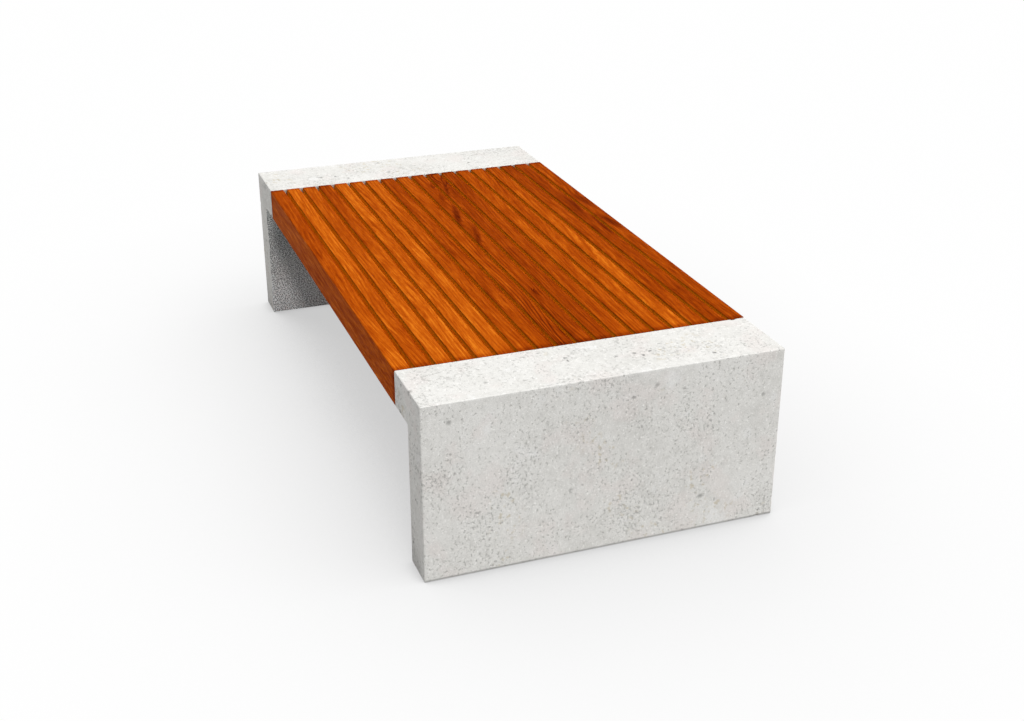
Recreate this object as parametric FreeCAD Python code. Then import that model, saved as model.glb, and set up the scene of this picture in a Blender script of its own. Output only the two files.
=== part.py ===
import FreeCAD, Part

import math
import os

from FreeCAD import Vector

# Slatted garden bench: two precast concrete end supports joined by hardwood slats on edge.
#
# Each support is an inverted L, with a leg that stands on the ground and a flange that reaches inwards
# at seat height. The slats fill the space between the two flanges, flush with them above, below and at
# the sides. A steel ledge plate is bolted up into each flange and carries the slat ends, two flat cross
# bearers tie the slats together in between, and every slat is screwed to all four from below.
#
# Frame: millimetres, X along the bench, Y across it, Z up, origin on the ground under the middle.
# The +X end is modelled, and the -X end is the same turned round. Node names end in _a and _b for them.

# Overall size
LENGTH = 1800.0
WIDTH = 900.0
HEIGHT = 450.0

# Concrete supports
FLANGE_REACH = 200.0
FLANGE_DEPTH = 90.0
LEG_THICKNESS = 100.0
ARRIS_RADIUS = 5.0
INNER_CORNER_RADIUS = 8.0

# Slats
SLAT_COUNT = 18
SLAT_WIDTH = 40.0
SLAT_END_GAP = 2.0
SLAT_ARRIS = 3.0

# Steel under the seat
STEEL_THICKNESS = 8.0
STEEL_SIDE_INSET = 10.0
STEEL_CORNER_RADIUS = 4.0
PLATE_SEAT = 60.0
PLATE_LEG_CLEARANCE = 10.0
BEARER_WIDTH = 50.0
BEARER_OFFSET = 225.0

# Hexagonal heads: radius of the turned rim, as a share of half the size across flats
HEAD_RIM_SHARE = 0.95

# Coach screws that hold the slats, one per slat at each steel
SCREW_RADIUS = 4.0
SCREW_LENGTH = 60.0
SCREW_TIP = 9.0
SCREW_HEAD_FLATS = 13.0
SCREW_HEAD_HEIGHT = 5.5
SCREW_WASHER_RADIUS = 9.0
SCREW_WASHER_THICKNESS = 1.6
SCREW_HOLE_RADIUS = 4.5
SCREW_END_DISTANCE = 33.0
PILOT_CLEARANCE = 0.1

# Bolts that hold the ledge plates, and the sockets cast into the flange for them
BOLT_RADIUS = 6.0
BOLT_LENGTH = 40.0
BOLT_END_CHAMFER = 1.0
BOLT_HEAD_FLATS = 18.0
BOLT_HEAD_HEIGHT = 7.5
BOLT_WASHER_RADIUS = 12.0
BOLT_WASHER_THICKNESS = 2.5
BOLT_HOLE_RADIUS = 7.0
BOLT_ROWS = (-340.0, -110.0, 110.0, 340.0)
PLATE_SOCKET_RADIUS = 9.0
PLATE_SOCKET_LENGTH = 50.0
PLATE_SOCKET_BORE = 6.1
PLATE_SOCKET_BORE_DEPTH = 34.0
PLATE_SOCKET_BAR_RADIUS = 4.0
PLATE_SOCKET_BAR_LENGTH = 60.0

# Sockets cast into the foot of each leg, for lifting and for fixing the bench to the ground
GROUND_SOCKET_ROWS = (-350.0, 350.0)
GROUND_SOCKET_RADIUS = 12.0
GROUND_SOCKET_LENGTH = 80.0
GROUND_SOCKET_BORE = 7.0
GROUND_SOCKET_BORE_DEPTH = 50.0
GROUND_SOCKET_BAR_RADIUS = 5.0
GROUND_SOCKET_BAR_LENGTH = 80.0

# Reinforcement
CONCRETE_COVER = 31.0
MAIN_BAR_RADIUS = 4.0
MAIN_BAR_SPACING = 140.0
MAIN_BAR_COUNT = 7
MAIN_BAR_BEND = 30.0
TIE_BAR_RADIUS = 3.0
TIE_WIRE_GAP = 1.0
LEG_TIE_HEIGHTS = (110.0, 190.0, 270.0, 350.0)
FLANGE_TIE_OFFSETS = (-16.0, 40.0)

# Derived places
HALF_LENGTH = LENGTH / 2
HALF_WIDTH = WIDTH / 2
FLANGE_FACE = HALF_LENGTH - FLANGE_REACH
LEG_FACE = HALF_LENGTH - LEG_THICKNESS
SEAT_UNDERSIDE = HEIGHT - FLANGE_DEPTH
STEEL_UNDERSIDE = SEAT_UNDERSIDE - STEEL_THICKNESS
STEEL_HALF_WIDTH = HALF_WIDTH - STEEL_SIDE_INSET
SLAT_GAP = (WIDTH - SLAT_COUNT * SLAT_WIDTH) / (SLAT_COUNT - 1)
SLAT_PITCH = SLAT_WIDTH + SLAT_GAP
SLAT_HALF_LENGTH = FLANGE_FACE - SLAT_END_GAP
PLATE_INNER = FLANGE_FACE - PLATE_SEAT
PLATE_OUTER = LEG_FACE - PLATE_LEG_CLEARANCE
PLATE_SCREW_X = SLAT_HALF_LENGTH - SCREW_END_DISTANCE
PLATE_BOLT_X = (FLANGE_FACE + LEG_FACE) / 2
GROUND_SOCKET_X = (LEG_FACE + HALF_LENGTH) / 2

UP = Vector(0, 0, 1)
ACROSS = Vector(0, 1, 0)


def slat_centre(index):
    """Y of the middle of a slat, counted from 0 at the -Y side."""
    return -HALF_WIDTH + SLAT_WIDTH / 2 + index * SLAT_PITCH


SLAT_ROWS = [slat_centre(i) for i in range(SLAT_COUNT)]


def block(x_low, x_high, y_low, y_high, z_low, z_high):
    """A rectangular block between its limits."""
    size = (x_high - x_low, y_high - y_low, z_high - z_low)
    return Part.makeBox(*size, Vector(x_low, y_low, z_low))


def rod(radius, start, end):
    """A round bar between two points."""
    axis = end - start
    return Part.makeCylinder(radius, axis.Length, start, axis)


def hexagon(flats, height, base):
    """A hexagonal head that rises from the point base, with its lower rim turned round."""
    corner_radius = flats / math.sqrt(3)
    turns = [math.radians(60 * k) for k in range(7)]
    points = [base + Vector(corner_radius * math.cos(t), corner_radius * math.sin(t), 0) for t in turns]
    prism = Part.Face(Part.makePolygon(points)).extrude(UP * height)
    rim = flats / 2 * HEAD_RIM_SHARE
    turned = Part.makeCone(rim, rim + height, height, base)
    return prism.common(turned)


def washer(outer, inner, thickness, base):
    """A flat washer that rises from the point base."""
    ring = Part.makeCylinder(outer, thickness, base)
    return ring.cut(Part.makeCylinder(inner, thickness, base))


def other_end(shape):
    """The same shape at the -X end of the bench."""
    turned = shape.copy()
    turned.rotate(Vector(0, 0, 0), UP, 180)
    return turned


# Fasteners

def screw_shank(x, y, clearance=0.0):
    """Pointed shank of a coach screw, or the hole that it makes when it is given a clearance."""
    radius = SCREW_RADIUS + clearance
    bottom = STEEL_UNDERSIDE - SCREW_WASHER_THICKNESS
    straight = SCREW_LENGTH - SCREW_TIP
    shank = Part.makeCylinder(radius, straight, Vector(x, y, bottom))
    tip = Part.makeCone(radius, clearance, SCREW_TIP + clearance, Vector(x, y, bottom + straight))
    return shank.fuse(tip)


def slat_screw(x, y):
    """Coach screw with a hexagonal head under its washer."""
    head_top = STEEL_UNDERSIDE - SCREW_WASHER_THICKNESS
    head = hexagon(SCREW_HEAD_FLATS, SCREW_HEAD_HEIGHT, Vector(x, y, head_top - SCREW_HEAD_HEIGHT))
    return head.fuse(screw_shank(x, y)).removeSplitter()


def slat_washer(x, y):
    """Washer between a coach screw and the steel."""
    base = Vector(x, y, STEEL_UNDERSIDE - SCREW_WASHER_THICKNESS)
    return washer(SCREW_WASHER_RADIUS, SCREW_HOLE_RADIUS, SCREW_WASHER_THICKNESS, base)


def plate_bolt(y):
    """Hexagonal bolt that goes up through the ledge plate into the flange."""
    head_top = STEEL_UNDERSIDE - BOLT_WASHER_THICKNESS
    head_base = Vector(PLATE_BOLT_X, y, head_top - BOLT_HEAD_HEIGHT)
    head = hexagon(BOLT_HEAD_FLATS, BOLT_HEAD_HEIGHT, head_base)
    start = Vector(PLATE_BOLT_X, y, head_top)
    straight_end = start + UP * (BOLT_LENGTH - BOLT_END_CHAMFER)
    shank = rod(BOLT_RADIUS, start, straight_end)
    end = Part.makeCone(BOLT_RADIUS, BOLT_RADIUS - BOLT_END_CHAMFER, BOLT_END_CHAMFER, straight_end)
    return head.fuse([shank, end]).removeSplitter()


def plate_washer(y):
    """Washer between a bolt and the ledge plate."""
    base = Vector(PLATE_BOLT_X, y, STEEL_UNDERSIDE - BOLT_WASHER_THICKNESS)
    return washer(BOLT_WASHER_RADIUS, BOLT_HOLE_RADIUS, BOLT_WASHER_THICKNESS, base)


# Sockets cast into the concrete

def socket_body(base, radius, length, bar_radius, bar_length):
    """Outer shape of a socket that rises from base, with the cross bar that anchors it near its top."""
    barrel = Part.makeCylinder(radius, length, base)
    middle = base + UP * (length - 2 * bar_radius)
    half_bar = ACROSS * (bar_length / 2)
    return barrel.fuse(rod(bar_radius, middle - half_bar, middle + half_bar)).removeSplitter()


def plate_socket_body(y):
    """Outer shape of a socket for a ledge plate bolt."""
    base = Vector(PLATE_BOLT_X, y, SEAT_UNDERSIDE)
    bar = (PLATE_SOCKET_BAR_RADIUS, PLATE_SOCKET_BAR_LENGTH)
    return socket_body(base, PLATE_SOCKET_RADIUS, PLATE_SOCKET_LENGTH, *bar)


def plate_socket(y):
    """Socket for a ledge plate bolt, bored from below."""
    mouth = Vector(PLATE_BOLT_X, y, SEAT_UNDERSIDE)
    return plate_socket_body(y).cut(Part.makeCylinder(PLATE_SOCKET_BORE, PLATE_SOCKET_BORE_DEPTH, mouth))


def ground_socket_body(y):
    """Outer shape of a socket in the foot of the leg."""
    base = Vector(GROUND_SOCKET_X, y, 0)
    bar = (GROUND_SOCKET_BAR_RADIUS, GROUND_SOCKET_BAR_LENGTH)
    return socket_body(base, GROUND_SOCKET_RADIUS, GROUND_SOCKET_LENGTH, *bar)


def ground_socket(y):
    """Socket in the foot of the leg, bored from below."""
    mouth = Vector(GROUND_SOCKET_X, y, 0)
    return ground_socket_body(y).cut(Part.makeCylinder(GROUND_SOCKET_BORE, GROUND_SOCKET_BORE_DEPTH, mouth))


# Reinforcement of one support

def main_bar(y):
    """Bent bar that runs up the outer side of the leg and then in along the top of the flange."""
    x_leg = HALF_LENGTH - CONCRETE_COVER - MAIN_BAR_RADIUS
    z_flange = HEIGHT - CONCRETE_COVER - MAIN_BAR_RADIUS
    foot = Vector(x_leg, y, CONCRETE_COVER)
    tip = Vector(FLANGE_FACE + CONCRETE_COVER, y, z_flange)
    bend_start = Vector(x_leg, y, z_flange - MAIN_BAR_BEND)
    bend_end = Vector(x_leg - MAIN_BAR_BEND, y, z_flange)
    slack = MAIN_BAR_BEND * (1 - math.sqrt(0.5))
    bend_middle = Vector(x_leg - slack, y, z_flange - slack)
    path = Part.Wire([
        Part.LineSegment(foot, bend_start).toShape(),
        Part.Arc(bend_start, bend_middle, bend_end).toShape(),
        Part.LineSegment(bend_end, tip).toShape(),
    ])
    section = Part.Wire([Part.Circle(foot, UP, MAIN_BAR_RADIUS).toShape()])
    return path.makePipeShell([section], True, True)


def main_bars():
    """All the bent bars of one support."""
    first = -MAIN_BAR_SPACING * (MAIN_BAR_COUNT - 1) / 2
    return [main_bar(first + k * MAIN_BAR_SPACING) for k in range(MAIN_BAR_COUNT)]


def tie_bars():
    """Straight bars across the bench, wired to the inner side of the bent bars.

    The flange has one on each side of the row of plate sockets.
    """
    offset = CONCRETE_COVER + 2 * MAIN_BAR_RADIUS + TIE_WIRE_GAP + TIE_BAR_RADIUS
    places = [(HALF_LENGTH - offset, z) for z in LEG_TIE_HEIGHTS]
    places += [(PLATE_BOLT_X + shift, HEIGHT - offset) for shift in FLANGE_TIE_OFFSETS]
    reach = MAIN_BAR_SPACING * (MAIN_BAR_COUNT - 1) / 2 + MAIN_BAR_RADIUS
    return [rod(TIE_BAR_RADIUS, Vector(x, -reach, z), Vector(x, reach, z)) for x, z in places]


# Concrete support

def support_blank():
    """Inverted L with a rounded inner corner and every outer arris rounded."""
    corner = INNER_CORNER_RADIUS
    slack = corner * (1 - math.sqrt(0.5))

    def at(x, z):
        return Vector(x, -HALF_WIDTH, z)

    arc_start = at(LEG_FACE, SEAT_UNDERSIDE - corner)
    arc_middle = at(LEG_FACE - slack, SEAT_UNDERSIDE - slack)
    arc_end = at(LEG_FACE - corner, SEAT_UNDERSIDE)
    straight = [
        (arc_end, at(FLANGE_FACE, SEAT_UNDERSIDE)),
        (at(FLANGE_FACE, SEAT_UNDERSIDE), at(FLANGE_FACE, HEIGHT)),
        (at(FLANGE_FACE, HEIGHT), at(HALF_LENGTH, HEIGHT)),
        (at(HALF_LENGTH, HEIGHT), at(HALF_LENGTH, 0)),
        (at(HALF_LENGTH, 0), at(LEG_FACE, 0)),
        (at(LEG_FACE, 0), arc_start),
    ]
    edges = [Part.LineSegment(a, b).toShape() for a, b in straight]
    edges.append(Part.Arc(arc_start, arc_middle, arc_end).toShape())
    blank = Part.Face(Part.Wire(Part.__sortEdges__(edges))).extrude(ACROSS * WIDTH)
    return blank.makeFillet(ARRIS_RADIUS, [e for e in blank.Edges if not is_curve_seam(e)])


def is_curve_seam(edge):
    """True for the two smooth edges where the curve of the inner corner begins and ends."""
    middle = edge.valueAt((edge.FirstParameter + edge.LastParameter) / 2)
    runs_across = abs(middle.y) < HALF_WIDTH / 2
    from_corner = math.hypot(middle.x - LEG_FACE, middle.z - SEAT_UNDERSIDE)
    return runs_across and from_corner < 2 * INNER_CORNER_RADIUS


def concrete_support():
    """Support with the space for its sockets and bars."""
    inside = [plate_socket_body(y) for y in BOLT_ROWS]
    inside += [ground_socket_body(y) for y in GROUND_SOCKET_ROWS]
    inside += main_bars() + tie_bars()
    return support_blank().cut(inside)


# Seat

def slat(index):
    """Board on edge with rounded arrises and a blind hole for each screw."""
    y = SLAT_ROWS[index]
    half = SLAT_WIDTH / 2
    board = block(-SLAT_HALF_LENGTH, SLAT_HALF_LENGTH, y - half, y + half, SEAT_UNDERSIDE, HEIGHT)
    board = board.makeFillet(SLAT_ARRIS, board.Edges)
    places = (-PLATE_SCREW_X, -BEARER_OFFSET, BEARER_OFFSET, PLATE_SCREW_X)
    return board.cut([screw_shank(x, y, PILOT_CLEARANCE) for x in places])


def flat_bar(x_low, x_high):
    """Flat steel across the bench under the slats, with its corners rounded in plan."""
    bar = block(x_low, x_high, -STEEL_HALF_WIDTH, STEEL_HALF_WIDTH, STEEL_UNDERSIDE, SEAT_UNDERSIDE)
    upright = [e for e in bar.Edges if abs(e.Vertexes[0].Z - e.Vertexes[1].Z) > 1]
    return bar.makeFillet(STEEL_CORNER_RADIUS, upright)


def drilled(bar, x, rows, radius):
    """The bar with a row of holes at x."""
    holes = [Part.makeCylinder(radius, STEEL_THICKNESS, Vector(x, y, STEEL_UNDERSIDE)) for y in rows]
    return bar.cut(holes)


def ledge_plate():
    """Plate under the flange that the slat ends stand on."""
    plate = flat_bar(PLATE_INNER, PLATE_OUTER)
    plate = drilled(plate, PLATE_SCREW_X, SLAT_ROWS, SCREW_HOLE_RADIUS)
    return drilled(plate, PLATE_BOLT_X, BOLT_ROWS, BOLT_HOLE_RADIUS)


def cross_bearer():
    """Bar that ties the slats together between the supports."""
    bar = flat_bar(BEARER_OFFSET - BEARER_WIDTH / 2, BEARER_OFFSET + BEARER_WIDTH / 2)
    return drilled(bar, BEARER_OFFSET, SLAT_ROWS, SCREW_HOLE_RADIUS)


def end_nodes():
    """Every node of the +X end, under its name without the suffix."""
    return {
        "concrete_support": [concrete_support()],
        "ledge_plate": [ledge_plate()],
        "cross_bearer": [cross_bearer()],
        "plate_bolts": [plate_bolt(y) for y in BOLT_ROWS],
        "plate_washers": [plate_washer(y) for y in BOLT_ROWS],
        "plate_sockets": [plate_socket(y) for y in BOLT_ROWS],
        "ground_sockets": [ground_socket(y) for y in GROUND_SOCKET_ROWS],
        "plate_slat_screws": [slat_screw(PLATE_SCREW_X, y) for y in SLAT_ROWS],
        "plate_slat_washers": [slat_washer(PLATE_SCREW_X, y) for y in SLAT_ROWS],
        "bearer_slat_screws": [slat_screw(BEARER_OFFSET, y) for y in SLAT_ROWS],
        "bearer_slat_washers": [slat_washer(BEARER_OFFSET, y) for y in SLAT_ROWS],
        "rebar_main_bars": main_bars(),
        "rebar_tie_bars": tie_bars(),
    }


def export(name, solids):
    """Writes one node, and stops if any of its solids is not sound."""
    for solid in solids:
        if not solid.isValid() or solid.Volume <= 0 or len(solid.Solids) != 1:
            raise ValueError(f"{name} has an unsound solid")
    bodies = [s.Solids[0] for s in solids]
    shape = bodies[0] if len(bodies) == 1 else Part.makeCompound(bodies)
    shape.exportStep(f"parts/{name}.step")


def main():
    os.makedirs("parts", exist_ok=True)
    for name, solids in end_nodes().items():
        export(f"{name}_a", solids)
        export(f"{name}_b", [other_end(s) for s in solids])
    for index in range(SLAT_COUNT):
        export(f"slat_{index + 1:02d}", [slat(index)])


main()
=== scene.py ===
import math

import bpy
import numpy as np
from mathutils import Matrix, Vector, noise


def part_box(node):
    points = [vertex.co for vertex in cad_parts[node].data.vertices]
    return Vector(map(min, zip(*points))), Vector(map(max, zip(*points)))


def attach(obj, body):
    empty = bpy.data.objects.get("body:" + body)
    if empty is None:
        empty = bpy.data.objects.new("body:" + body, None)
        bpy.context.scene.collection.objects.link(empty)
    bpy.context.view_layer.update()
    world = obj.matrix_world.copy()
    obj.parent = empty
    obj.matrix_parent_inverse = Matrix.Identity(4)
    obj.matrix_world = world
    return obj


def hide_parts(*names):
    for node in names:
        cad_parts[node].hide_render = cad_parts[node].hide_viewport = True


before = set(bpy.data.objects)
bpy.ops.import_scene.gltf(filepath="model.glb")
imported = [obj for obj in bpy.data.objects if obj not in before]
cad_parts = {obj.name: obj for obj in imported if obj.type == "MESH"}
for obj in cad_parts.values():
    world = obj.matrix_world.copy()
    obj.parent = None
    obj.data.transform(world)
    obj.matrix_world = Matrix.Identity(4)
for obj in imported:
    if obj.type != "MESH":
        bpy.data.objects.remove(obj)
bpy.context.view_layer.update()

# Looks of the slatted garden bench. Metres, +X along the bench towards end a, +Z up.
# The concrete supports and the slats are replaced by finer meshes in the boxes of their CAD nodes, with
# worn arrises and, on the concrete, small pits. The steel keeps its own shape and gets its finish here.

MM = 0.001

# Concrete
CONCRETE_GRID = 3.9 * MM
CONCRETE_ARRIS = 3.0 * MM
INNER_CORNER = 8.0 * MM
CORNER_STEPS = 4
PIT_COUNT = 60
PIT_RADII = (2.6 * MM, 7.5 * MM)
PIT_SHAPE = 0.32
CHIP_SIZE = 22 * MM
CHIP_DEPTH = 2.0 * MM
RIPPLE_SIZE = 11 * MM
RIPPLE_DEPTH = 0.06 * MM
SOCKET_ROW = 0.35
MOUTH_SIDES = 48

# Slats
SLAT_GRID = 9.0 * MM
SLAT_ARRIS = 2.0 * MM
ALONG_GRAIN = (0.12, 1, 1)
SLAT_WEAR_SIZE = 5 * MM
SLAT_WEAR_DEPTH = 0.6 * MM
SLAT_HOLLOW_SIZE = 14 * MM
SLAT_HOLLOW_DEPTH = 0.07 * MM

# Tone of each slat at its far end, middle and near end, from 0 for dark red-brown to 1 for bright orange,
# in order from the -Y side
SLAT_TONES = (
    (0.56, 0.63, 0.85), (0.80, 0.82, 0.65), (0.73, 0.70, 0.82), (0.52, 0.70, 0.84), (0.82, 0.70, 0.86),
    (0.74, 0.78, 0.80), (0.80, 0.64, 0.65), (0.52, 0.55, 0.62), (0.60, 0.67, 0.48), (0.58, 0.52, 0.48),
    (0.48, 0.52, 0.50), (0.48, 0.57, 0.64), (0.61, 0.68, 0.60), (0.69, 0.65, 0.68), (0.60, 0.72, 0.81),
    (0.40, 0.60, 0.64), (0.48, 0.50, 0.58), (0.56, 0.50, 0.56),
)
SIDE_TONE = 0.70

# Arched figure in the grain, which runs on from slat to slat:
# (x where it starts, length, y, half width, rings, darkness of its heart)
ARCHES = (
    (-0.74, 0.14, 0.068, 0.022, 2.4, 0.00),
    (0.34, 0.04, 0.025, 0.006, 1.2, 0.28),
    (0.42, 0.80, -0.028, 0.020, 3.0, 0.03),
)

# Dark boat-shaped marks in the grain: (x, y, half length, half width, slope, darkness)
MARKS = (
    (-0.535, 0.072, 0.090, 0.007, -0.20, 0.22),
    (-0.570, 0.038, 0.034, 0.008, -0.10, 0.26),
    (-0.450, 0.030, 0.040, 0.009, -0.10, 0.24),
    (-0.285, 0.024, 0.100, 0.011, -0.20, 0.38),
    (-0.095, 0.022, 0.100, 0.010, -0.20, 0.30),
    (-0.275, 0.432, 0.085, 0.015, 0.10, 0.30),
    (-0.070, 0.430, 0.085, 0.016, 0.10, 0.34),
    (-0.250, 0.386, 0.120, 0.012, -0.05, 0.22),
    (-0.050, 0.394, 0.100, 0.008, -0.03, 0.30),
)


# Mesh building

ARRIS_STEPS = np.array([0.0, 0.24, 0.5, 0.74])


def lines_between(low, high, spacing, arris):
    """Grid lines from low to high, with extra ones in the width of an arris at both ends."""
    steps = ARRIS_STEPS * arris
    count = max(1, round((high - low - 2 * arris) / spacing))
    inner = np.linspace(low + arris, high - arris, count + 1)
    return np.concatenate([low + steps, inner, (high - steps)[::-1]])


def block_surface(lines, inside):
    """Outward quads around the solid cells of a grid, as (vertex coordinates, faces)."""
    solid = np.pad(inside, 1).astype(np.int8)
    counts = np.array([len(axis_lines) for axis_lines in lines])
    quads = []
    for axis in range(3):
        u, v = (axis + 1) % 3, (axis + 2) % 3
        step = np.diff(solid, axis=axis)
        for sign, order in ((-1, (0, 1, 2, 3)), (1, (3, 2, 1, 0))):
            cells = np.argwhere(step == sign)
            cells[:, [u, v]] -= 1
            corners = []
            for du, dv in ((0, 0), (1, 0), (1, 1), (0, 1)):
                corner = cells.copy()
                corner[:, u] += du
                corner[:, v] += dv
                corners.append(np.ravel_multi_index(corner.T, counts))
            quads.append(np.stack([corners[k] for k in order], axis=1))
    used, faces = np.unique(np.concatenate(quads), return_inverse=True)
    index = np.unravel_index(used, counts)
    points = np.stack([lines[axis][index[axis]] for axis in range(3)], axis=1)
    return points, faces.reshape(-1, 4)


def nearest_in_boxes(points, boxes):
    """Nearest point to each point in a union of boxes."""
    nearest = np.clip(points, *boxes[0])
    for low, high in boxes[1:]:
        other = np.clip(points, low, high)
        closer = np.linalg.norm(points - other, axis=1) < np.linalg.norm(points - nearest, axis=1)
        nearest[closer] = other[closer]
    return nearest


def rounded(points, boxes, arris):
    """Points of a block's surface with its arrises rounded: (points, outward normals)."""
    shrunk = [(np.array(low) + arris, np.array(high) - arris) for low, high in boxes]
    core = nearest_in_boxes(points, shrunk)
    normals = points - core
    normals /= np.linalg.norm(normals, axis=1)[:, None]
    return core + normals * arris, normals


def lumps(points, size, seed, octaves=1):
    """Smooth noise from about -1 to 1 at each point, with lumps of about this size."""
    offset = Vector((seed * 7.1, seed * 3.7, seed * 5.3))
    scale = 1 / size
    return np.array([noise.fractal(Vector(p) * scale + offset, 1.0, 2.0, octaves) for p in points])


def mesh_piece(name, points, faces, attributes):
    """A smooth-shaded object from arrays, with a number at each vertex for each attribute."""
    mesh = bpy.data.meshes.new(name)
    mesh.from_pydata(points.tolist(), [], faces.tolist())
    for key, values in attributes.items():
        mesh.attributes.new(key, "FLOAT", "POINT").data.foreach_set("value", values.astype(np.float32))
    mesh.shade_smooth()
    piece = bpy.data.objects.new(name, mesh)
    bpy.context.scene.collection.objects.link(piece)
    return piece


# Concrete supports

# Brings 1 minus a normal's largest component to about 1 in the middle of an arris
FULL_ARRIS = 3.4


def pits(points, normals, seed):
    """Depth of the air holes at each point, and how far inside one it is, from 0 to 1."""
    random = np.random.default_rng(seed)
    depth = np.zeros(len(points))
    within = np.zeros(len(points))
    for centre in points[random.choice(len(points), PIT_COUNT, replace=False)]:
        radius = PIT_RADII[0] + (PIT_RADII[1] - PIT_RADII[0]) * random.random() ** 3
        stretch = random.uniform(1 - PIT_SHAPE, 1 + PIT_SHAPE, 3)
        near = np.flatnonzero(np.abs(points - centre).max(axis=1) < radius * 1.5)
        reach = np.linalg.norm((points[near] - centre) * stretch, axis=1) / radius
        bowl = np.clip(1 - reach ** 2, 0, 1)
        depth[near] = np.maximum(depth[near], bowl * radius * random.uniform(0.25, 0.5))
        within[near] = np.maximum(within[near], np.sqrt(bowl))
    return depth, within


def inner_corner_shift(points, corner_x, corner_z):
    """Moves the points beside the corner under the flange onto its curve."""
    shift = np.zeros_like(points)
    along_leg = corner_z - points[:, 2]
    along_flange = corner_x - points[:, 0]
    on_leg = (np.abs(points[:, 0] - corner_x) < 1e-6) & (along_leg >= 0)
    on_flange = (np.abs(points[:, 2] - corner_z) < 1e-6) & (along_flange >= 0)
    for face, distance, first in ((on_leg, along_leg, 0), (on_flange, along_flange, math.pi / 2)):
        chosen = face & (distance < INNER_CORNER)
        turn = np.abs(first - (1 - distance[chosen] / INNER_CORNER) * math.pi / 4)
        x = corner_x - INNER_CORNER * (1 - np.cos(turn))
        z = corner_z - INNER_CORNER * (1 - np.sin(turn))
        shift[chosen, 0] = x - points[chosen, 0]
        shift[chosen, 2] = z - points[chosen, 2]
    return shift


def lines_past_corner(first, corner, last):
    """Grid lines across the corner under the flange, with even steps along its curve."""
    before = lines_between(first, corner, CONCRETE_GRID, CONCRETE_ARRIS)[:-len(ARRIS_STEPS)]
    before = before[before < corner - INNER_CORNER - MM]
    at_corner = np.linspace(corner - INNER_CORNER, corner, CORNER_STEPS)
    beyond = lines_between(corner, last, CONCRETE_GRID, CONCRETE_ARRIS)
    return np.unique(np.concatenate([before, at_corner, beyond]).round(7))


def concrete_support(end, side, seed):
    """Inverted L at one end of the bench, side +1 or -1 along X."""
    low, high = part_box(f"concrete_support_{end}")
    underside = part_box("slat_01")[0].z
    socket_low, socket_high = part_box(f"ground_sockets_{end}")
    socket_x = side * (socket_low.x + socket_high.x) / 2

    # It is laid out for the +X end, and turned at last for the -X end. The sockets are in the leg's middle.
    flange_face, outer = sorted((side * low.x, side * high.x))
    leg_face = 2 * socket_x - outer
    xs = lines_past_corner(flange_face, leg_face, outer)
    ys = lines_between(low.y, high.y, CONCRETE_GRID, CONCRETE_ARRIS)
    zs = lines_past_corner(0.0, underside, high.z)
    middle_x = (xs[:-1] + xs[1:]) / 2
    middle_z = (zs[:-1] + zs[1:]) / 2
    section = (middle_x[:, None] > leg_face) | (middle_z[None, :] > underside)
    inside = np.repeat(section[:, None, :], len(ys) - 1, axis=1)
    points, faces = block_surface((xs, ys, zs), inside)

    flange = ((flange_face, low.y, underside), (xs[-1], high.y, high.z))
    leg = ((leg_face, low.y, 0.0), (xs[-1], high.y, high.z))
    smooth, normals = rounded(points, (flange, leg), CONCRETE_ARRIS)
    smooth += inner_corner_shift(points, leg_face, underside)

    hollow, within = pits(smooth, normals, seed)
    arris = 1 - np.abs(normals).max(axis=1)
    worn = arris > 0
    chips = np.zeros(len(smooth))
    chips[worn] = np.clip(lumps(smooth[worn], CHIP_SIZE, seed, 3) - 0.25, 0, 1) * arris[worn] * CHIP_DEPTH
    ripple = (lumps(smooth, RIPPLE_SIZE, seed + 9) + 1) * RIPPLE_DEPTH
    smooth -= normals * (hollow + chips + ripple)[:, None]
    if side < 0:
        smooth *= (-1, -1, 1)
    return mesh_piece(f"concrete_{end}", smooth, faces, {"pit": within, "arris": arris * FULL_ARRIS})


def upright_cylinders(name, radius, x, rows, bottom, top):
    """Mesh of one upright cylinder at x for each y in rows."""
    points, faces = [], []
    turns = [2 * math.pi * k / MOUTH_SIDES for k in range(MOUTH_SIDES)]
    for y in rows:
        first = len(points)
        for z in (bottom, top):
            points += [(x + radius * math.cos(turn), y + radius * math.sin(turn), z) for turn in turns]
        lower = range(first, first + MOUTH_SIDES)
        upper = range(first + MOUTH_SIDES, first + 2 * MOUTH_SIDES)
        faces.append(tuple(reversed(lower)))
        faces.append(tuple(upper))
        for k in range(MOUTH_SIDES):
            n = (k + 1) % MOUTH_SIDES
            faces.append((lower[k], lower[n], upper[n], upper[k]))
    mesh = bpy.data.meshes.new(name)
    mesh.from_pydata(points, [], faces)
    return mesh


def open_socket_mouths(piece, end):
    """Cuts round holes in the foot where the ground sockets come out."""
    low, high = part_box(f"ground_sockets_{end}")
    radius = (high.x - low.x) / 2
    rows = (-SOCKET_ROW, SOCKET_ROW)
    mouths = upright_cylinders("mouths", radius, (low.x + high.x) / 2, rows, low.z - radius, high.z)
    cutter = bpy.data.objects.new("mouths", mouths)
    bpy.context.scene.collection.objects.link(cutter)
    cut = piece.modifiers.new("mouths", "BOOLEAN")
    cut.operation = "DIFFERENCE"
    cut.solver = "EXACT"
    cut.object = cutter
    made = bpy.data.meshes.new_from_object(piece.evaluated_get(bpy.context.evaluated_depsgraph_get()))
    piece.modifiers.clear()
    piece.data = made
    bpy.data.objects.remove(cutter)


# Slats

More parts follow.
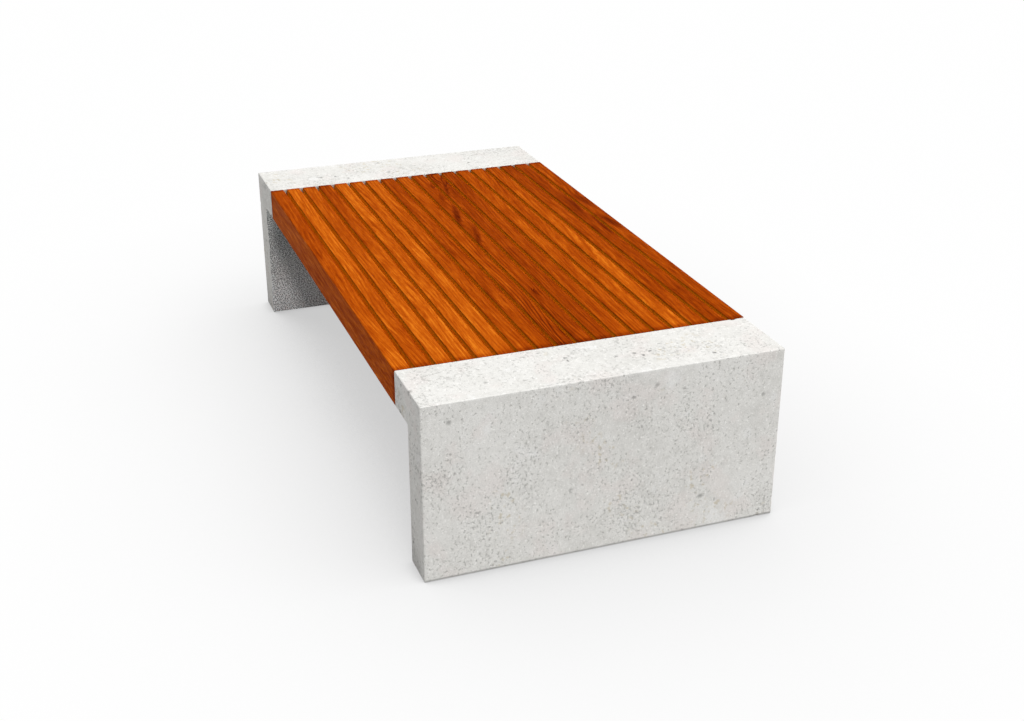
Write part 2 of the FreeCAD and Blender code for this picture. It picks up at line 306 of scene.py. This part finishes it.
def slat(index, tones):
    """Board on edge with softened, slightly uneven arrises."""
    low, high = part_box(f"slat_{index + 1:02d}")
    lines = [lines_between(low[axis], high[axis], SLAT_GRID, SLAT_ARRIS) for axis in range(3)]
    points, faces = block_surface(lines, np.ones([len(axis_lines) - 1 for axis_lines in lines], bool))
    smooth, normals = rounded(points, [(low, high)], SLAT_ARRIS)
    arris = 1 - np.abs(normals).max(axis=1)
    stretched = smooth * ALONG_GRAIN
    wear = (lumps(stretched, SLAT_WEAR_SIZE, index + 40) + 1) * arris * SLAT_WEAR_DEPTH
    hollow = (lumps(stretched, SLAT_HOLLOW_SIZE, index + 70) + 1) * SLAT_HOLLOW_DEPTH
    smooth -= normals * (wear + hollow)[:, None]

    # "gap" is 1 on sides that face a neighbour, which get painted light, and the last one is 1 on the +Y
    # side
    side = np.clip((np.abs(normals[:, 1]) - 0.45) / 0.3, 0, 1)
    gap = side * np.where(normals[:, 1] < 0, index > 0, index < len(SLAT_TONES) - 1)
    tone = np.interp(points[:, 0], (low.x, (low.x + high.x) / 2, high.x), tones)
    tone += (SIDE_TONE - tone) * side
    plus_y_side = side * (normals[:, 1] > 0)
    return mesh_piece(f"board_{index + 1:02d}", smooth, faces, {"tone": tone, "gap": gap, "plus_y_side": plus_y_side})


# Materials

class Shader:
    """Builds one material's nodes. Every method returns the socket to read next."""

    def __init__(self, name):
        self.material = bpy.data.materials.new(name)
        self.material.use_nodes = True
        self.tree = self.material.node_tree
        self.surface = self.tree.nodes["Principled BSDF"]
        coordinates = self.tree.nodes.new("ShaderNodeTexCoord")
        self.place = coordinates.outputs["Object"]

    def put(self, socket, value):
        """Links a socket to an input, or sets the input to a constant."""
        if isinstance(value, bpy.types.NodeSocket):
            self.tree.links.new(value, socket)
        else:
            socket.default_value = value

    def node(self, kind, **settings):
        made = self.tree.nodes.new(kind)
        for key, value in settings.items():
            setattr(made, key, value)
        return made

    def math(self, operation, a, b=0.0, clamp=False):
        made = self.node("ShaderNodeMath", operation=operation, use_clamp=clamp)
        self.put(made.inputs[0], a)
        self.put(made.inputs[1], b)
        return made.outputs[0]

    def vector(self, operation, a, b):
        made = self.node("ShaderNodeVectorMath", operation=operation)
        self.put(made.inputs[0], a)
        self.put(made.inputs[1], b)
        return made.outputs["Vector"]

    def split(self, vector):
        made = self.node("ShaderNodeSeparateXYZ")
        self.put(made.inputs[0], vector)
        return made.outputs

    def join(self, x, y, z):
        made = self.node("ShaderNodeCombineXYZ")
        for socket, value in zip(made.inputs, (x, y, z)):
            self.put(socket, value)
        return made.outputs[0]

    def noise(self, place, scale, detail, roughness=0.5):
        """Noise from 0 to 1, mostly near the middle. scale is a number per metre, or one for each axis."""
        if not isinstance(scale, (int, float)):
            place, scale = self.vector("MULTIPLY", place, scale), 1.0
        made = self.node("ShaderNodeTexNoise")
        settings = {"Vector": place, "Scale": scale, "Detail": detail, "Roughness": roughness}
        for key, value in settings.items():
            self.put(made.inputs[key], value)
        return made.outputs["Fac"]

    def cells(self, place, scale):
        """Irregular cells: (distance to the cell's point, random number of the cell)."""
        made = self.node("ShaderNodeTexVoronoi")
        self.put(made.inputs["Vector"], place)
        self.put(made.inputs["Scale"], scale)
        return made.outputs["Distance"], self.split(made.outputs["Color"])[0]

    def hump(self, value, centre, width):
        """1 at the centre, fading out over the width on both sides."""
        away = self.math("MULTIPLY", self.math("SUBTRACT", value, centre), 1 / width)
        return self.math("EXPONENT", self.math("MULTIPLY", self.math("MULTIPLY", away, away), -1.0))

    def attribute(self, name):
        return self.node("ShaderNodeAttribute", attribute_name=name).outputs["Fac"]

    def span(self, value, low, high, to_low=0.0, to_high=1.0):
        """Maps low..high to to_low..to_high with soft ends, and holds it outside."""
        made = self.node("ShaderNodeMapRange", interpolation_type="SMOOTHSTEP")
        for socket, entry in zip(made.inputs, (value, low, high, to_low, to_high)):
            self.put(socket, entry)
        return made.outputs[0]

    def ramp(self, value, stops):
        """Colour ramp through (position, colour) stops."""
        made = self.node("ShaderNodeValToRGB")
        self.put(made.inputs[0], value)
        elements = made.color_ramp.elements
        while len(elements) < len(stops):
            elements.new(1.0)
        for element, (position, colour) in zip(elements, stops):
            element.position = position
            element.color = (*colour, 1.0)
        return made.outputs[0]

    def mix(self, share, a, b, blend="MIX"):
        made = self.node("ShaderNodeMix", data_type="RGBA", blend_type=blend)
        self.put(made.inputs["Factor"], share)
        colour_inputs = [s for s in made.inputs if s.type == "RGBA"]
        for socket, value in zip(colour_inputs, (a, b)):
            self.put(socket, value if isinstance(value, bpy.types.NodeSocket) else (*value, 1.0))
        return [s for s in made.outputs if s.type == "RGBA"][0]

    def bump(self, height, distance):
        made = self.node("ShaderNodeBump")
        self.put(made.inputs["Height"], height)
        self.put(made.inputs["Distance"], distance)
        self.put(made.inputs["Strength"], 1.0)
        self.put(self.surface.inputs["Normal"], made.outputs[0])

    def finish(self, **inputs):
        """Sets the surface's inputs, with spaces in their names written as underscores."""
        for key, value in inputs.items():
            self.put(self.surface.inputs[key.replace("_", " ")], value)
        return self.material


def noise_vector(s, scale):
    """Three independent noises as a vector."""
    made = s.node("ShaderNodeTexNoise")
    s.put(made.inputs["Vector"], s.vector("MULTIPLY", s.place, (scale, scale, scale)))
    s.put(made.inputs["Scale"], 1.0)
    s.put(made.inputs["Detail"], 1.0)
    return made.outputs["Color"]


def specks(s, place, scale, share, size):
    """Small round marks in a share of the cells: 1 inside a mark."""
    distance, chance = s.cells(place, scale)
    radius = s.math("MULTIPLY", s.span(chance, 1 - share, 1 - share * 0.4), size)
    return s.span(s.math("SUBTRACT", radius, distance), 0.0, size * 0.45)


SEAT_BOTTOM, SEAT_TOP = (corner.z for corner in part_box("slat_01"))

# Colours of the concrete
PASTE = (
    (0.32, (0.560, 0.552, 0.525)),
    (0.50, (0.645, 0.637, 0.610)),
    (0.68, (0.700, 0.692, 0.668)),
)
PALE_PATCH = (0.740, 0.738, 0.730)
PINK_PATCH = (0.660, 0.605, 0.580)
TAN_SPOT = (0.480, 0.420, 0.300)
DARK_FLECK = (0.320, 0.314, 0.295)
LIGHT_FLECK = (0.840, 0.832, 0.812)
SAND_GRAIN = ((0.30, (0.86, 0.86, 0.86)), (0.70, (1.10, 1.10, 1.10)))
HOLE_SHADE_COLOUR = (0.160, 0.157, 0.150)
PIT_SHADE_COLOUR = (0.210, 0.206, 0.195)
WORN_ARRIS = (0.730, 0.727, 0.712)
FOOT_SHADE_COLOUR = (0.200, 0.197, 0.188)
BOUNCE_LIGHT_COLOUR = (0.880, 0.874, 0.856)
INNER_SHADE_COLOUR = (0.140, 0.150, 0.152)
COARSE_GRAIN = ((0.42, (0.26, 0.28, 0.29)), (0.58, (1.68, 1.74, 1.78)))


def cement_paste(s, place):
    """Mottled paste with pale, pink and tan patches: (colour, mottle)."""
    clouds = s.noise(place, 5.0, 5, 0.55)
    mottle = s.noise(place, 38.0, 6, 0.68)
    blend = s.math("ADD", s.math("MULTIPLY", clouds, 0.4), s.math("MULTIPLY", mottle, 0.6))
    pale = s.span(s.noise(place, 13.0, 4, 0.6), 0.58, 0.70, 0.0, 0.5)
    colour = s.mix(pale, s.ramp(blend, PASTE), PALE_PATCH)
    pink = s.noise(s.vector("ADD", place, (3.0, 1.0, 2.0)), 11.0, 3)
    colour = s.mix(s.span(pink, 0.50, 0.66, 0.0, 0.40), colour, PINK_PATCH)
    tan_region = s.span(s.noise(s.vector("ADD", place, (1.0, 5.0, 2.0)), 6.0, 2), 0.54, 0.64)
    tan = s.math("MULTIPLY", tan_region, s.span(s.noise(place, 70.0, 3), 0.56, 0.68, 0.0, 0.6))
    return s.mix(tan, colour, TAN_SPOT), mottle


def flecks_and_holes(s, place, upward, colour):
    """Adds flecks, sand and air holes in painted shade: (colour, height). Dark flecks are fainter on top.
    """
    # Flecks come in clusters, and the clusters leave clean areas between them
    clusters = s.math("MULTIPLY", s.math("SUBTRACT", s.noise(place, 8.0, 5, 0.65), 0.5), 0.36)
    dark = s.span(s.math("ADD", s.noise(place, 135.0, 4, 0.7), clusters), 0.545, 0.66)
    light = s.span(s.noise(s.vector("ADD", place, (0.3, 0.1, 0.2)), 170.0, 3, 0.6), 0.56, 0.68)
    sand = s.noise(place, 520.0, 2, 0.75)
    colour = s.mix(s.math("MULTIPLY", dark, s.span(upward, 0.2, 0.8, 0.74, 0.52)), colour, DARK_FLECK)
    colour = s.mix(s.math("MULTIPLY", light, 0.58), colour, LIGHT_FLECK)
    colour = s.mix(1.0, colour, s.ramp(sand, SAND_GRAIN), "MULTIPLY")
    jitter = s.vector("MULTIPLY", noise_vector(s, 170.0), (0.012, 0.012, 0.012))
    holes = specks(s, s.vector("ADD", place, jitter), 66.0, 0.035, 0.40)
    # Painted shade in the small air holes
    colour = s.mix(s.math("MULTIPLY", holes, 0.80), colour, HOLE_SHADE_COLOUR)
    return colour, s.math("SUBTRACT", s.math("MULTIPLY", sand, 0.5), s.math("ADD", dark, holes))


def leg_faces(s, place, lengthwise, colour):
    """Adds what the broad faces of the legs have besides, which face along the bench."""
    x, y, z = s.split(s.place)[:3]
    outward = s.math("ABSOLUTE", y)

    # A thin line of painted shade where they stand on the ground
    broad = s.span(s.math("ABSOLUTE", lengthwise), 0.5, 0.9)
    foot_shade = s.math("MULTIPLY", broad, s.span(z, 3.0 * MM, 7.5 * MM, 0.60, 0.0))
    colour = s.mix(foot_shade, colour, FOOT_SHADE_COLOUR)

    # The inner ones get painted light towards the ground and painted shade under the flange and in the
    # sheltered middle, and are coarser
    below_seat = s.span(z, SEAT_BOTTOM - 5.0 * MM, SEAT_BOTTOM + 1.0 * MM, 1.0, 0.0)
    inner = s.math("MULTIPLY", s.span(s.math("MULTIPLY", lengthwise, x), -0.6, -0.3, 1.0, 0.0), below_seat)
    bounce_light = s.span(z, 0.06, 0.17, 0.85, 0.0)
    colour = s.mix(s.math("MULTIPLY", inner, bounce_light), colour, BOUNCE_LIGHT_COLOUR)
    exposed = s.math("SUBTRACT", outward, s.math("MULTIPLY", z, 0.38))
    inner_shade = s.math("MULTIPLY", inner, s.span(outward, 0.410, 0.448, 1.0, 0.20))
    # Painted shade, darkest under the flange and furthest in from the sides
    for shade_share in (s.span(z, 0.15, 0.28, 0.0, 0.45), s.span(exposed, 0.318, 0.385, 0.60, 0.0)):
        colour = s.mix(s.math("MULTIPLY", inner_shade, shade_share), colour, INNER_SHADE_COLOUR)
    coarse = s.ramp(s.noise(place, 300.0, 2, 0.6), COARSE_GRAIN)
    return s.mix(inner, colour, coarse, "MULTIPLY")


def concrete(name, offset):
    """Light cast concrete: mottled paste, dark and pale flecks, air holes, and painted shade and light."""
    s = Shader(name)
    place = s.vector("ADD", s.place, offset)
    facing = s.split(s.node("ShaderNodeNewGeometry").outputs["Normal"])
    colour, mottle = cement_paste(s, place)
    colour, height = flecks_and_holes(s, place, facing[2], colour)
    # Painted shade in the pits
    colour = s.mix(s.math("MULTIPLY", s.attribute("pit"), 0.65), colour, PIT_SHADE_COLOUR)
    colour = s.mix(s.math("MULTIPLY", s.attribute("arris"), 0.20, True), colour, WORN_ARRIS)
    colour = leg_faces(s, place, facing[0], colour)
    s.bump(s.math("ADD", height, mottle), 0.35 * MM)
    roughness = s.span(mottle, 0.3, 0.7, 0.94, 0.80)
    return s.finish(Base_Color=colour, Roughness=roughness, Specular_IOR_Level=0.3)


# Colours of the hardwood by tone, on its open faces, and with painted light on its sides in the gaps
WOOD_COLOURS = (
    (0.00, (0.066, 0.0055, 0.0004)),
    (0.20, (0.125, 0.0141, 0.0006)),
    (0.47, (0.235, 0.0321, 0.0009)),
    (0.60, (0.304, 0.0469, 0.0013)),
    (0.74, (0.385, 0.0697, 0.0022)),
    (0.87, (0.477, 0.1000, 0.0040)),
    (1.00, (0.600, 0.1600, 0.0090)),
)
GAP_LIGHT_COLOURS = ((0.25, (0.820, 0.270, 0.0080)), (0.85, (0.970, 0.440, 0.0130)))
RING_SPACING = 11.0 * MM
SLAT_END_SHADE = (0.674, 0.695)


def grain_figure(s, across, place, streaks):
    """Growth rings, bent round the arches and the boat-shaped marks: (dark line, dark hearts)."""
    x, y, z = s.split(s.place)[:3]
    rings = s.math("MULTIPLY", s.math("ADD", across, s.math("MULTIPLY", z, 0.6)), 1 / RING_SPACING)
    rings = s.math("ADD", rings, s.math("MULTIPLY", s.noise(place, (2.0, 10.0, 10.0), 2), 2.2))
    hearts = 0.0
    bent = 0.0
    for start, length, middle, half_width, count, dark in ARCHES:
        rise = s.span(x, start, start + length * 0.5)
        fall = s.span(x, start + length * 0.6, start + length * 1.6, 1.0, 0.0)
        arch = s.math("MULTIPLY", s.math("MULTIPLY", rise, fall), s.hump(y, middle, half_width))
        near = s.math("MULTIPLY", s.hump(x, start + length * 0.5, length * 0.9),
                      s.hump(y, middle, half_width * 1.8))
        rings = s.math("ADD", rings, s.math("MULTIPLY", arch, count))
        hearts = s.math("ADD", hearts, s.math("MULTIPLY", arch, dark))
        bent = s.math("ADD", bent, near, True)
    for mark_x, mark_y, half_length, half_width, slope, dark in MARKS:
        middle = s.math("ADD", s.math("MULTIPLY", s.math("SUBTRACT", x, mark_x), slope), mark_y)
        boat = s.math("MULTIPLY", s.hump(x, mark_x, half_length),
                      s.hump(s.math("SUBTRACT", y, middle), 0.0, half_width))
        rings = s.math("ADD", rings, s.math("MULTIPLY", boat, 1.6))
        frayed = s.math("ADD", boat, s.math("SUBTRACT", streaks, 0.5))
        hearts = s.math("ADD", hearts, s.math("MULTIPLY", s.span(frayed, 0.25, 0.95), dark))
    line = s.span(s.math("PINGPONG", rings, 0.5), 0.15, 0.50)
    strength = s.math("ADD", 0.08, s.math("MULTIPLY", bent, 0.36))
    return s.math("MULTIPLY", line, strength), s.math("SUBTRACT", hearts, 0.04)


def painted_gap_light(s, depth, plus_y_side):
    """How far the wood's sides in a gap get painted light, from under the arris down."""
    below = s.math("SUBTRACT", depth, s.math("MULTIPLY", plus_y_side, 7.0 * MM))
    top = s.span(below, 0.3 * MM, 7.0 * MM)
    bottom = s.span(depth, 30.0 * MM, 60.0 * MM, 1.0, 0.0)
    return s.math("MULTIPLY", s.math("MULTIPLY", top, bottom), s.attribute("gap"))


def hardwood():
    """Oiled tropical hardwood with its grain along X, continuous from slat to slat."""
    s = Shader("hardwood")
    x, y, z = s.split(s.place)[:3]

    # The grain drifts sideways along the bench, most towards -Y on the far slats
    drift = s.math("MULTIPLY", s.math("SUBTRACT", s.noise(s.place, (1.1, 4.0, 4.0), 1), 0.5), 0.10)
    lean = s.math("MULTIPLY", s.span(x, -0.75, 0.25, 0.0, 0.085), s.hump(y, 0.17, 0.14))
    across = s.math("ADD", y, s.math("ADD", drift, lean))
    place = s.join(x, across, z)

    streaks = s.noise(place, (8.0, 150.0, 150.0), 3, 0.6)
    fibres = s.noise(place, (16.0, 330.0, 330.0), 3, 0.7)
    bands = s.noise(place, (1.5, 34.0, 34.0), 2)
    pores = s.span(s.noise(place, (60.0, 1100.0, 1100.0), 1), 0.58, 0.70)
    line, hearts = grain_figure(s, across, place, streaks)
    tone = s.attribute("tone")
    for value, weight in ((bands, 0.30), (streaks, 0.75), (fibres, 0.85)):
        tone = s.math("ADD", tone, s.math("MULTIPLY", s.math("SUBTRACT", value, 0.5), weight))
    for darkness in (line, hearts, s.math("MULTIPLY", pores, 0.14)):
        tone = s.math("SUBTRACT", tone, darkness)

    # Painted shade at the slats' ends, by the joint with the concrete; darker just under the arrises on the
    # +Y side
    tone = s.math("SUBTRACT", tone, s.span(s.math("ABSOLUTE", x), *SLAT_END_SHADE, 0.0, 0.22))
    depth = s.math("SUBTRACT", SEAT_TOP, z)
    plus_y_side = s.attribute("plus_y_side")
    under_arris_darkening = s.math("MULTIPLY", s.span(depth, 1.0 * MM, 2.5 * MM),
                   s.span(depth, 3.0 * MM, 10.0 * MM, 0.55, 0.0))
    tone = s.math("SUBTRACT", tone, s.math("MULTIPLY", plus_y_side, under_arris_darkening))
    # Painted light on the sides in the gaps
    colour = s.mix(painted_gap_light(s, depth, plus_y_side), s.ramp(tone, WOOD_COLOURS), s.ramp(tone, GAP_LIGHT_COLOURS))

    height = s.math("SUBTRACT", s.math("ADD", streaks, s.math("MULTIPLY", fibres, 0.6)),
                    s.math("MULTIPLY", pores, 0.5))
    s.bump(height, 0.12 * MM)
    roughness = s.span(streaks, 0.3, 0.7, 0.62, 0.48)
    s.finish(Specular_Tint=(1.0, 0.55, 0.22, 1.0), Specular_IOR_Level=0.004)
    return s.finish(Base_Color=colour, Roughness=roughness)


def galvanised(name):
    """Hot-dip galvanised steel with a soft spangle."""
    s = Shader(name)
    distance, spangle = s.cells(s.place, 85.0)
    blooms = s.noise(s.place, 30.0, 4, 0.6)
    blend = s.math("ADD", s.math("MULTIPLY", spangle, 0.5), s.math("MULTIPLY", blooms, 0.5))
    colour = s.ramp(blend, ((0.2, (0.33, 0.345, 0.36)), (0.8, (0.56, 0.575, 0.59))))
    s.bump(s.math("ADD", distance, blooms), 0.15 * MM)
    return s.finish(Base_Color=colour, Metallic=1.0, Roughness=s.span(spangle, 0, 1, 0.38, 0.60))


def fastener(name, dark, light):
    """Bright fastener steel with fine scratches."""
    s = Shader(name)
    scratches = s.noise(s.place, (300.0, 900.0, 2500.0), 3, 0.7)
    smudges = s.noise(s.place, 160.0, 3)
    colour = s.ramp(smudges, ((0.3, dark), (0.7, light)))
    s.bump(scratches, 0.05 * MM)
    return s.finish(Base_Color=colour, Metallic=1.0, Roughness=s.span(scratches, 0.3, 0.7, 0.26, 0.44))


def reinforcing(name):
    """Mill-scaled steel with light rust."""
    s = Shader(name)
    rust = s.noise(s.place, 120.0, 5, 0.7)
    colour = s.ramp(rust, ((0.35, (0.060, 0.055, 0.055)), (0.65, (0.240, 0.085, 0.035))))
    s.bump(rust, 0.3 * MM)
    return s.finish(Base_Color=colour, Metallic=0.4, Roughness=s.span(rust, 0.3, 0.7, 0.6, 0.92))


def dress(node, material):
    """Gives a CAD node a material."""
    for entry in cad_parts[node].material_slots:
        entry.material = material


# Pieces

def place_piece(piece, node, material):
    """Puts a piece in place of a CAD node."""
    piece.data.materials.append(material)
    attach(piece, "root")
    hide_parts(node)


for end, side, seed in (("a", 1, 11), ("b", -1, 23)):
    support = concrete_support(end, side, seed)
    open_socket_mouths(support, end)
    cast = concrete(f"concrete_{end}", (seed * 0.37, 0.0, 0.0))
    place_piece(support, f"concrete_support_{end}", cast)

wood = hardwood()
for index, tones in enumerate(SLAT_TONES):
    place_piece(slat(index, tones), f"slat_{index + 1:02d}", wood)

steel = {
    "galvanised": galvanised("galvanised_steel"),
    "bright": fastener("fastener_steel", (0.42, 0.42, 0.43), (0.62, 0.62, 0.63)),
    "plated": fastener("socket_steel", (0.42, 0.36, 0.24), (0.58, 0.53, 0.42)),
    "bars": reinforcing("reinforcing_steel"),
}
NODE_STEEL = {
    "ledge_plate": "galvanised", "cross_bearer": "galvanised",
    "plate_bolts": "bright", "plate_washers": "bright",
    "plate_slat_screws": "bright", "plate_slat_washers": "bright",
    "bearer_slat_screws": "bright", "bearer_slat_washers": "bright",
    "plate_sockets": "plated", "ground_sockets": "plated",
    "rebar_main_bars": "bars", "rebar_tie_bars": "bars",
}
for node, finish_name in NODE_STEEL.items():
    for end in "ab":
        dress(f"{node}_{end}", steel[finish_name])


# Studio

FLOOR_SIZE = 60.0
FLOOR_GLOW = (
    (0.38, (0.575, 0.575, 0.575)),
    (0.60, (0.790, 0.790, 0.790)),
    (0.85, (0.860, 0.860, 0.860)),
    (1.00, (0.925, 0.925, 0.925)),
)


def studio_floor():
    """Pale floor that glows a little onto the bench, and shows the camera a glow with painted soft shadow.
    """
    corners = [(-FLOOR_SIZE, -FLOOR_SIZE, -MM), (FLOOR_SIZE, -FLOOR_SIZE, -MM),
               (FLOOR_SIZE, FLOOR_SIZE, -MM), (-FLOOR_SIZE, FLOOR_SIZE, -MM)]
    mesh = bpy.data.meshes.new("floor")
    mesh.from_pydata(corners, [], [(0, 1, 2, 3)])
    floor = bpy.data.objects.new("floor", mesh)
    bpy.context.scene.collection.objects.link(floor)
    s = Shader("floor")
    seen = s.node("ShaderNodeLightPath").outputs["Is Camera Ray"]
    openness = s.node("ShaderNodeAmbientOcclusion", samples=16).outputs["AO"]
    contact = s.node("ShaderNodeAmbientOcclusion", samples=8)
    contact.inputs["Distance"].default_value = 40.0 * MM
    contact = s.span(contact.outputs["AO"], 0.30, 0.95, 0.85, 1.0)
    # Painted shadow from ambient occlusion, for the camera only
    shade = s.mix(1.0, s.ramp(openness, FLOOR_GLOW), s.join(contact, contact, contact), "MULTIPLY")
    glow = s.mix(seen, (0.15, 0.15, 0.15), shade)
    s.finish(Emission_Color=glow, Emission_Strength=1.0)
    grey = s.span(seen, 0.0, 1.0, 0.555, 0.05)
    mesh.materials.append(s.finish(Base_Color=grey, Roughness=0.95, Specular_IOR_Level=0.0))


def studio_light():
    """Soft key from above, a little from behind and from end a, in an even white room."""
    key = bpy.data.lights.new("key", "SUN")
    key.energy = 3.75
    key.angle = math.radians(50)
    lamp = bpy.data.objects.new("key", key)
    lamp.rotation_mode = "QUATERNION"
    lamp.rotation_quaternion = Vector((0.33, 0.45, 1.12)).to_track_quat("Z", "Y")
    bpy.context.scene.collection.objects.link(lamp)

    world = bpy.data.worlds.new("room")
    world.use_nodes = True
    tree = world.node_tree
    room = tree.nodes["Background"]
    room.inputs["Color"].default_value = (1.0, 1.0, 1.0, 1.0)
    seen = tree.nodes.new("ShaderNodeLightPath").outputs["Is Camera Ray"]
    strength = tree.nodes.new("ShaderNodeMapRange")
    strength.inputs["To Min"].default_value = 0.37
    strength.inputs["To Max"].default_value = 1.0
    tree.links.new(seen, strength.inputs["Value"])
    tree.links.new(strength.outputs[0], room.inputs["Strength"])
    bpy.context.scene.world = world
    bpy.context.scene.view_settings.view_transform = "Standard"


def photo_camera():
    """Camera seen from above end a, 20 degrees round from the bench's length."""
    camera = bpy.data.cameras.new("camera")
    camera.lens = 50.0
    camera.sensor_width = 36.0
    seat = bpy.data.objects.new("camera", camera)
    seat.location = (3.543, -1.209, 1.831)
    seat.rotation_euler = (math.radians(65.17), 0.0, math.radians(69.80))
    bpy.context.scene.collection.objects.link(seat)
    bpy.context.scene.camera = seat


studio_floor()
studio_light()
photo_camera()
